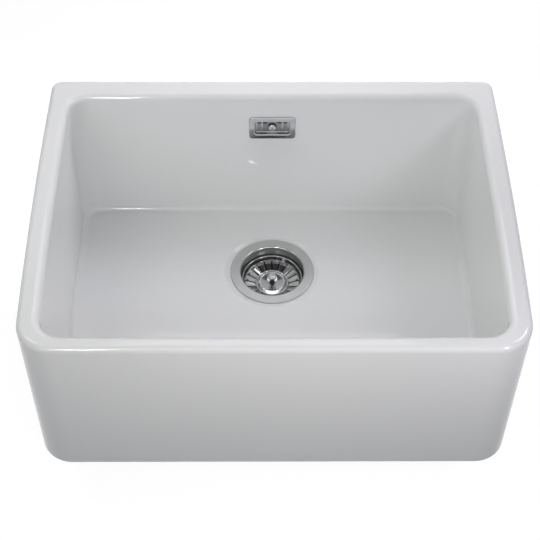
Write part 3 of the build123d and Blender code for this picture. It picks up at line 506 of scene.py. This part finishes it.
def bake_tree(source, group, name, values):
    """Plain mesh object of what a node tree makes of an object with the values given by name."""
    bpy.context.scene.collection.objects.link(source)
    modifier = source.modifiers.new(group.name, "NODES")
    modifier.node_group = group
    for item in group.interface.items_tree:
        if item.in_out == "INPUT" and item.name in values:
            modifier[item.identifier] = values[item.name]
    graph = bpy.context.evaluated_depsgraph_get()
    mesh = bpy.data.meshes.new_from_object(source.evaluated_get(graph))
    source.modifiers.remove(modifier)
    bpy.data.objects.remove(source)
    made = bpy.data.objects.new(name, mesh)
    bpy.context.scene.collection.objects.link(made)
    return made


route, hose_crest_r = hose_route()
corrugated_hose = bake_tree(route, ribbed_tube_tree(), "corrugated_hose", {
    "Cuff length": hose_cuff_length, "Cuff radius": hose_cuff_r,
    "Valley radius": hose_valley_r, "Crest radius": hose_crest_r, "Bore radius": hose_bore_r,
    "Ribs": hose_rib_count, "Steps": hose_steps, "Material": finishes["hose_plastic"]})
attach(corrugated_hose, "sink")
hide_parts("overflow_hose")


# ------------------------------------------------------------------ thread of the outlet
def solid_piece(name, points, faces, body, finish):
    """Closed, outward-facing piece that rides on a body."""
    mesh = bpy.data.meshes.new(name)
    mesh.from_pydata(points, [], faces)
    solid = bmesh.new()
    solid.from_mesh(mesh)
    bmesh.ops.recalc_face_normals(solid, faces=solid.faces)
    solid.to_mesh(mesh)
    solid.free()
    mesh.shade_smooth()
    mesh.set_sharp_from_angle(angle=radians(40))
    mesh.materials.append(finish)
    made = bpy.data.objects.new(name, mesh)
    bpy.context.scene.collection.objects.link(made)
    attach(made, body)


def turns_of_thread(core_r, height, pitch, low, high, steps=72):
    """(points, faces) of a ridge wound about the waste's axis, running out at both ends."""
    count = int((high - low) / pitch * steps)
    root_r = core_r - 0.3 * height  # sunk in the core
    points = []
    for i in range(count + 1):
        crest_r = core_r + height * min(1, 2 * i / steps, 2 * (count - i) / steps)
        a, z = 2 * pi * i / steps, low + pitch * i / steps
        points += [(r * sin(a), waste_y - r * cos(a), z + share * pitch) for r, share in (
            (root_r, -0.42), (crest_r, -0.07), (crest_r, 0.07), (root_r, 0.42))]
    faces = [(4 * i + j, 4 * i + (j + 1) % 4, 4 * i + 4 + (j + 1) % 4, 4 * i + 4 + j)
             for i in range(count) for j in range(4)]
    return points, [*faces, (0, 1, 2, 3), tuple(4 * count + j for j in range(4))]


turn_height = 0.55 * mm
points, faces = turns_of_thread(outlet_thread_r, turn_height, pipe_thread_pitch,
                                outlet_z + 1.6 * mm, outlet_z + outlet_thread_length - 2.5 * mm)
solid_piece("outlet_turns", points, faces, "sink", finishes["white_plastic"])


# ------------------------------------------------------------------- lip of the dish
def spun(profile, turns=144):
    """(points, faces) of a ring about the waste's axis from a closed (radius, height) profile."""
    count = len(profile)
    points = [(r * sin(2 * pi * i / turns), waste_y + r * cos(2 * pi * i / turns), z)
              for i in range(turns) for r, z in profile]
    faces = [(i * count + j, i * count + (j + 1) % count,
              (i + 1) % turns * count + (j + 1) % count, (i + 1) % turns * count + j)
             for i in range(turns) for j in range(count)]
    return points, faces


def arc(center, radius, start, end, steps):
    """Points of (radius, height) on an arc between two angles in degrees."""
    angles = (radians(start + (end - start) * i / steps) for i in range(steps + 1))
    return [(center[0] + radius * cos(a), center[1] + radius * sin(a)) for a in angles]


lip_slope = 40  # degrees, down towards the petals
lip_crest_r, lip_roll_r = dish_r - 3.9 * mm, 0.8 * mm
lip_rise = 3.0 * mm
roll_steps, flank_steps = 12, 6
crest = (lip_crest_r, dish_high.z + lip_rise - lip_roll_r)
roll = arc(crest, lip_roll_r, 90 - lip_slope, 180, roll_steps)
flank = [(dish_r + (roll[0][0] - dish_r) * i / flank_steps,
          dish_high.z + (roll[0][1] - dish_high.z) * i / flank_steps) for i in range(flank_steps)]
buried = [(lip_crest_r - lip_roll_r, dish_high.z - 1.9 * mm),
          (lip_crest_r + 0.6 * mm, dish_high.z - 1.6 * mm),
          (dish_r - 0.4 * mm, dish_high.z - 0.2 * mm)]
points, faces = spun([*flank, *roll, *buried])
solid_piece("dish_lip", points, faces, "basket",
            basket_steel("satin_pressed_steel", 0.95, 0.17))


# ---------------------------------------------------------------- floor and white ground
floor_drop, floor_half = 0.5 * mm, 12.0
floor_glow = 0.92
floor_mesh = bpy.data.meshes.new("studio_floor")
floor_z = cad_box[0].z - floor_drop
floor_mesh.from_pydata([(x * floor_half, y * floor_half, floor_z) for x, y in (
    (-1, -1), (1, -1), (1, 1), (-1, 1))], [], [(0, 1, 2, 3)])
floor = bpy.data.objects.new("studio_floor", floor_mesh)
bpy.context.scene.collection.objects.link(floor)


def ground_rays(tree):
    """Two wires, 1 for rays seen by the camera and 1 for rays by way of a mirror or glass."""
    rays = tree.tree.nodes.new("ShaderNodeLightPath")
    camera, glossy, clear = (Wire(tree, rays.outputs[name]) for name in (
        "Is Camera Ray", "Is Glossy Ray", "Is Transmission Ray"))
    return camera, glossy.larger(clear)


floor_paper = Finish("studio_paper", (0.20, 0.20, 0.20), 0.9, Specular_IOR_Level=0.0)
fibre = floor_paper.noise(300.0, 3.0)
floor_paper.paint(floor_paper.blend(fibre, (0.195, 0.195, 0.195), (0.205, 0.205, 0.205)), 0.9)
direct, mirrored = ground_rays(floor_paper)
glow = floor_paper.node("ShaderNodeEmission", {},
                        {"Color": (1, 1, 1, 1), "Strength": (direct + mirrored) * floor_glow})
lit = floor_paper.tree.nodes.new("ShaderNodeAddShader")
floor_paper.tree.links.new(floor_paper.shader.outputs[0], lit.inputs[0])
floor_paper.tree.links.new(glow.socket, lit.inputs[1])
floor_paper.tree.links.new(lit.outputs[0], floor_paper.output.inputs[0])
floor_mesh.materials.append(floor_paper.material)

sky_strength = 0.12
# In mirrors the white walls go over into an unlit ceiling between two heights of the gaze.
ceiling_start, ceiling_full, ceiling_dark = 0.55, 0.97, 0.95
world = bpy.data.worlds.new("studio")
world.use_nodes = True
bpy.context.scene.world = world
sky = Tree(world.node_tree)
sky.tree.nodes.clear()
way = sky.node("ShaderNodeTexCoord", output="Generated")
height = sky.node("ShaderNodeSeparateXYZ", {}, {0: way}, 2)
direct, mirrored = ground_rays(sky)
soft_sky = height.larger(0.0) * sky_strength * (1 - direct - mirrored)
walls = 1 - height.step(ceiling_start, ceiling_full) * ceiling_dark
background = sky.node("ShaderNodeBackground", {}, {
    "Color": (1, 1, 1, 1), "Strength": soft_sky + direct + mirrored * walls})
world_out = sky.tree.nodes.new("ShaderNodeOutputWorld")
sky.tree.links.new(background.socket, world_out.inputs[0])

# ------------------------------------------------------------------------------- lamps
bench = (0, 0, 0.1)
# Place, aim, width and height, watts of red, green and blue, and the surfaces that show the lamp:
# matt for scattered light only, shiny for mirrored light only.
lamps = {
    "overhead_back": ((0, 0.507, 1.188), bench, (0.6, 0.6), (1.58, 1.54, 1.72), "all"),
    "left_low": ((-0.927, -1.104, 0.513), bench, (0.6, 0.6), (2.14, 2.15, 2.58), "matt"),
    "left_front": ((-0.70, -0.70, 0.936), bench, (0.5, 0.5), (0.23, 0.26, 0.12), "matt"),
    "high_front": ((0, -0.996, 0.936), bench, (0.5, 0.5), (0.96, 1.18, 1.18), "matt"),
    "right_back": ((0.704, 0.704, 0.936), bench, (0.5, 0.5), (4.12, 3.92, 4.22), "matt"),
    "apron_panel": ((0, -0.55, 0.40), (0, -0.2, 0.22), (0.35, 0.35), (0.50, 0.48, 0.47), "matt"),
    "apron_strip": ((0, -0.5, 0.42), (0, -0.2, 0.22), (1.0, 0.15), (0.29, 0.26, 0.21), "matt"),
    "back_rim": ((0, 0.5, 0.7), bench, (0.35, 0.35), (1.10, 1.09, 1.08), "matt"),
    "right_front": ((0.45, -0.5, 0.5), (0.2, -0.2, 0.2), (0.12, 0.12), (0.74, 0.73, 0.83), "all"),
    "left_over": ((-0.55, 0, 0.7), bench, (0.35, 0.35), (1.05, 1.05, 1.05), "matt"),
    "softbox": ((0, -0.93, 1.05), bench, (2.2, 0.6), (5.2, 5.3, 5.3), "shiny"),
    "left_window": ((-0.365, -1.15, 0.9), (0, 0, 0.24), (0.11, 0.20), (2.4, 2.4, 2.4), "shiny"),
    "left_side": ((-0.66, 0.14, 1.10), bench, (0.22, 0.22), (0.62, 0.62, 0.63), "shiny"),
    "right_side": ((0.72, 0.20, 1.06), bench, (0.26, 0.26), (1.45, 1.45, 1.47), "shiny"),
    "right_window": ((0.704, 0.704, 0.936), bench, (0.16, 0.16), (0.48, 0.48, 0.50), "shiny"),
}
for name, (place, aim, (width, height), watts, shown_by) in lamps.items():
    light = bpy.data.lights.new(name, "AREA")
    light.shape, light.size, light.size_y = "RECTANGLE", width, height
    light.energy = max(watts)
    light.color = [part / light.energy for part in watts]
    lamp = bpy.data.objects.new(name, light)
    lamp.location = place
    lamp.rotation_euler = (Vector(aim) - lamp.location).to_track_quat("-Z", "Y").to_euler()
    lamp.visible_glossy = shown_by != "matt"
    lamp.visible_diffuse = shown_by != "shiny"
    lamp.visible_camera = False
    bpy.context.scene.collection.objects.link(lamp)

# ------------------------------------------------------------------------------ camera
picture_px = 540
focal_px = 1336.6
elevation, heading, tilt = radians(49.21), radians(-0.62), radians(0.4)
camera_distance = 1.7332
camera_shift = Vector((-3.9 * mm, -4.41 * mm))
camera_data = bpy.data.cameras.new("camera")
camera_data.sensor_width = 36.0
camera_data.lens = focal_px * camera_data.sensor_width / picture_px
camera = bpy.data.objects.new("camera", camera_data)
backward = Vector((sin(heading) * cos(elevation), -cos(heading) * cos(elevation), sin(elevation)))
level = (-backward).cross(Vector((0, 0, 1))).normalized()
upright = level.cross(-backward)
right = level * cos(tilt) + upright * sin(tilt)
upward = upright * cos(tilt) - level * sin(tilt)
place = (Vector((0, 0, rim_z / 2)) + backward * camera_distance
         + right * camera_shift.x + upward * camera_shift.y)
camera.matrix_world = Matrix.Translation(place) @ Matrix(
    (right, upward, backward)).transposed().to_4x4()
bpy.context.scene.collection.objects.link(camera)
bpy.context.scene.camera = camera
bpy.context.scene.view_settings.view_transform = "Standard"
